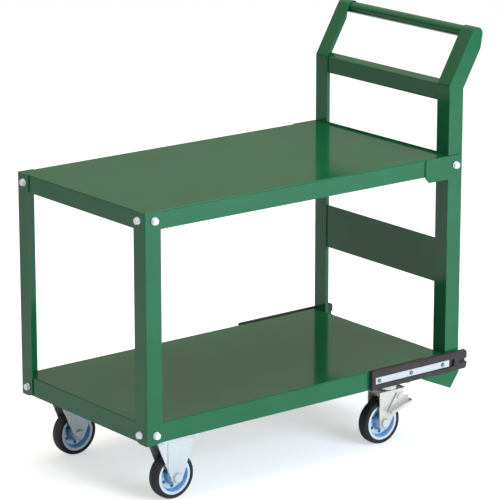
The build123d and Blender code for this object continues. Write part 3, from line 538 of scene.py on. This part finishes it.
def disc_tint_and_painted_shade(name, axle):
    """Blue-passivated zinc, near white on the flats. Down the walls of the trough it turns deep
    blue: partly the plating's own tint, partly painted shade.
    """
    material, tree, coords, shader = new_material(name)
    centred = add(
        tree,
        "ShaderNodeMapping",
        {"Location": (-axle.x, 0.0, -axle.z), "Scale": (1.0, 0.0, 1.0)},
        {"Vector": coords},
    )
    radius = add(
        tree, "ShaderNodeVectorMath", {"operation": "LENGTH"}, {0: centred.outputs["Vector"]}
    )
    share = add(
        tree,
        "ShaderNodeMapRange",
        {"From Min": 0.0, "From Max": DISC_REACH_MM * MM},
        {"Value": radius.outputs["Value"]},
    )
    colour = add(
        tree,
        "ShaderNodeValToRGB",
        links={"Fac": share.outputs["Result"]},
        stops=tuple((radius_mm / DISC_REACH_MM, shade) for radius_mm, shade in DISC_TINT_AND_PAINTED_SHADE_BANDS),
    )
    tree.links.new(colour.outputs["Color"], shader.inputs["Base Color"])
    shader.inputs["Metallic"].default_value = 0.55
    shader.inputs["Roughness"].default_value = 0.2
    return material


# Steel rivets, coloured a darker grey than the discs.
rivet_steel = plated(
    "dark_grey_rivets", (0.35, "#63686b"), (0.65, "#7d8285"), metallic=1.0, roughness=0.35
)
for side, _ in SIDES:
    for end in ("front", "rear"):
        low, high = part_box(f"wheel_discs_{end}_{side}")
        # Each disc's colours are centred on its axle, so the painted shade stays on the trough's
        # walls.
        disc_tint_and_shade = disc_tint_and_painted_shade(f"blue_passivated_zinc_{end}_{side}", (low + high) / 2)
        finish_with(disc_tint_and_shade, f"wheel_discs_{end}_{side}")
        finish_with(rivet_steel, f"wheel_rivets_{end}_{side}")
        finish_with(ball_steel, f"wheel_hub_{end}_{side}")

# ---- Tyres ----
# Solid black rubber rings, moulded and pressed over the discs' rims.
# Their walls have a raised ring beside the metal, and the tread is smooth.
TYRE_SKETCH = (  # radius and distance from the wheel's middle, in mm
    (35.6, 10.2),
    (40.3, 10.2),
    (40.3, 13.2),
    (40.9, 13.8),
    (42.3, 13.9),
    (42.8, 13.4),
    (43.3, 13.8),
    (45.4, 13.3),
    (47.2, 12.2),
    (48.6, 10.4),
    (49.4, 8.0),
    (49.8, 4.0),
    (49.9, 0.5),
    (50.0, 0.3),
)
TYRE_STEPS = 96
TYRE_SMOOTH_DEG = 40
TYRE_GRAIN_MM = 1.2
TYRE_GRAIN_DEEP_MM = 0.1
TYRE_DUST_MM = 25.0

# Carbon-black rubber with a soft sheen from the mould, greyer where floor dust clings.
tyre_rubber, tree, coords, shader = new_material("solid_tyre_rubber")
dust = add(
    tree,
    "ShaderNodeTexNoise",
    {"Scale": 1 / (TYRE_DUST_MM * MM), "Detail": 5.0},
    {"Vector": coords},
)
grain = add(
    tree,
    "ShaderNodeTexNoise",
    {"Scale": 1 / (TYRE_GRAIN_MM * MM), "Detail": 2.0},
    {"Vector": coords},
)
colour = add(
    tree,
    "ShaderNodeValToRGB",
    links={"Fac": dust.outputs["Fac"]},
    stops=((0.35, "#1d1a1a"), (0.65, "#272323")),
)
tree.links.new(colour.outputs["Color"], shader.inputs["Base Color"])
bump = add(
    tree,
    "ShaderNodeBump",
    {"Strength": 0.2, "Distance": TYRE_GRAIN_DEEP_MM * MM},
    {"Height": grain.outputs["Fac"]},
)
tree.links.new(bump.outputs["Normal"], shader.inputs["Normal"])
shader.inputs["Roughness"].default_value = 0.5


def spun(name, sketch, middle, steps):
    """Draws a closed outline of (radius, across) points and spins it round an axle."""
    bpy.ops.object.select_all(action="DESELECT")
    places = [Vector((0, across * MM, radius * MM)) + middle for radius, across in sketch]
    bpy.ops.mesh.primitive_plane_add(size=MM, location=places[0])
    made = bpy.context.object
    made.name = name
    bpy.ops.object.transform_apply(location=True, rotation=True, scale=True)
    bpy.ops.object.mode_set(mode="EDIT")
    bpy.ops.mesh.select_mode(type="VERT")
    bpy.ops.mesh.select_all(action="SELECT")
    bpy.ops.mesh.merge(type="CENTER")
    for last, place in zip(places, places[1:]):
        bpy.ops.mesh.extrude_region_move(TRANSFORM_OT_translate={"value": place - last})
    bpy.ops.mesh.select_all(action="DESELECT")
    outline = bmesh.from_edit_mesh(made.data)
    for vertex in outline.verts:
        if len(vertex.link_edges) == 1:
            vertex.select_set(True)
    bmesh.update_edit_mesh(made.data)
    bpy.ops.mesh.edge_face_add()
    bpy.ops.mesh.select_all(action="SELECT")
    bpy.ops.mesh.spin(steps=steps, angle=2 * math.pi, center=middle, axis=(0, 1, 0))
    bpy.ops.mesh.select_all(action="SELECT")
    bpy.ops.mesh.remove_doubles(threshold=NEAR)
    bpy.ops.mesh.normals_make_consistent(inside=False)
    bpy.ops.object.mode_set(mode="OBJECT")
    bpy.ops.object.shade_smooth_by_angle(angle=math.radians(TYRE_SMOOTH_DEG))
    return made


other_half = tuple((radius, -across) for radius, across in reversed(TYRE_SKETCH))
for side, _ in SIDES:
    for end in ("front", "rear"):
        low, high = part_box(f"tyre_{end}_{side}")
        tyre = spun(
            f"tyre_ring_{end}_{side}", TYRE_SKETCH + other_half, (low + high) / 2, TYRE_STEPS
        )
        tyre.data.materials.append(tyre_rubber)
        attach(tyre, f"{end}_wheel_{side}")
        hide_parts(f"tyre_{end}_{side}")

# ---- Floor, light and camera ----
# A pale studio floor that runs into a white backdrop, with soft boxes on the left, above
# and in front. The left one lights the paint but isn't mirrored in it.
FLOOR_ACROSS = 40.0
FLOOR_GLOW = 0.52
BACKDROP_GLOW = 1.2
SKY_LOW, SKY_HIGH = (0.1, 0.16), (0.6, 0.75)  # height of the direction, and its strength
MIDDLE = (0.0, 0.0, 0.45)
SENSOR_MM, LENS_MM = 36.0, 204.8
CAMERA_PLACE = (-3.6313, -4.6244, 2.0270)
CAMERA_TILT_DEG, CAMERA_TURN_DEG = 74.831, -38.110

bpy.ops.object.select_all(action="DESELECT")
bpy.ops.mesh.primitive_plane_add(size=FLOOR_ACROSS, location=(0, 0, 0))
floor = bpy.context.object
floor.name = "floor"
floor_paper, tree, coords, shader = new_material("pale_floor")
shader.inputs["Base Color"].default_value = linear("#d2d2cf")
shader.inputs["Roughness"].default_value = 0.95
shader.inputs["Specular IOR Level"].default_value = 0.2
shader.inputs["Emission Color"].default_value = linear("#ffffff")
seen = add(tree, "ShaderNodeLightPath").outputs["Is Camera Ray"]
glow = add(tree, "ShaderNodeMapRange", {"To Max": FLOOR_GLOW}, {"Value": seen})
tree.links.new(glow.outputs["Result"], shader.inputs["Emission Strength"])
floor.data.materials.append(floor_paper)


def soft_light(name, place, size, watts, colour):
    """A square soft box that faces the middle of the trolley."""
    lamp = bpy.data.lights.new(name, "AREA")
    lamp.shape = "SQUARE"
    lamp.size = size
    lamp.energy = watts
    lamp.color = linear(colour)[:3]
    made = bpy.data.objects.new(name, lamp)
    made.location = place
    made.rotation_euler = (Vector(MIDDLE) - Vector(place)).to_track_quat("-Z", "Y").to_euler()
    bpy.context.scene.collection.objects.link(made)
    return made


left_box = soft_light("left_box", (0.8, -4.3, 1.6), 3.0, 345.0, "#d8e8ff")
left_box.visible_glossy = False
soft_light("top_box", (0.3, 0.2, 4.2), 3.5, 105.0, "#ffffff")
soft_light("front_box", (-4.5, 1.2, 2.0), 2.5, 14.0, "#fff6e8")

# The surround is dim near the horizon and brighter above, cool on the left and warm on the
# right. Straight behind the trolley it is plain white.
world = bpy.data.worlds.new("studio")
bpy.context.scene.world = world
world.use_nodes = True
sky = world.node_tree
direction = add(sky, "ShaderNodeTexCoord").outputs["Generated"]
parts = add(sky, "ShaderNodeSeparateXYZ", links={"Vector": direction})
rise = add(
    sky,
    "ShaderNodeMapRange",
    {
        "From Min": SKY_LOW[0],
        "From Max": SKY_HIGH[0],
        "To Min": SKY_LOW[1],
        "To Max": SKY_HIGH[1],
    },
    {"Value": parts.outputs["Z"]},
)
rightward = add(
    sky, "ShaderNodeMapRange", {"From Min": -1.0, "From Max": 1.0}, {"Value": parts.outputs["Y"]}
)
tint = add(
    sky,
    "ShaderNodeValToRGB",
    links={"Fac": rightward.outputs["Result"]},
    stops=((0.2, "#e4f0ff"), (0.8, "#fff6e6")),
)
seen = add(sky, "ShaderNodeLightPath").outputs["Is Camera Ray"]
strength = add(
    sky,
    "ShaderNodeMath",
    {"operation": "MULTIPLY_ADD", 1: BACKDROP_GLOW},
    {0: seen, 2: rise.outputs["Result"]},
)
sky.links.new(tint.outputs["Color"], sky.nodes["Background"].inputs["Color"])
sky.links.new(strength.outputs["Value"], sky.nodes["Background"].inputs["Strength"])

# The Standard transform shows the hex colours as they are written.
bpy.context.scene.view_settings.view_transform = "Standard"

camera_data = bpy.data.cameras.new("camera")
camera_data.sensor_width = SENSOR_MM
camera_data.lens = LENS_MM
camera = bpy.data.objects.new("camera", camera_data)
camera.location = CAMERA_PLACE
camera.rotation_euler = (math.radians(CAMERA_TILT_DEG), 0.0, math.radians(CAMERA_TURN_DEG))
bpy.context.scene.collection.objects.link(camera)
bpy.context.scene.camera = camera
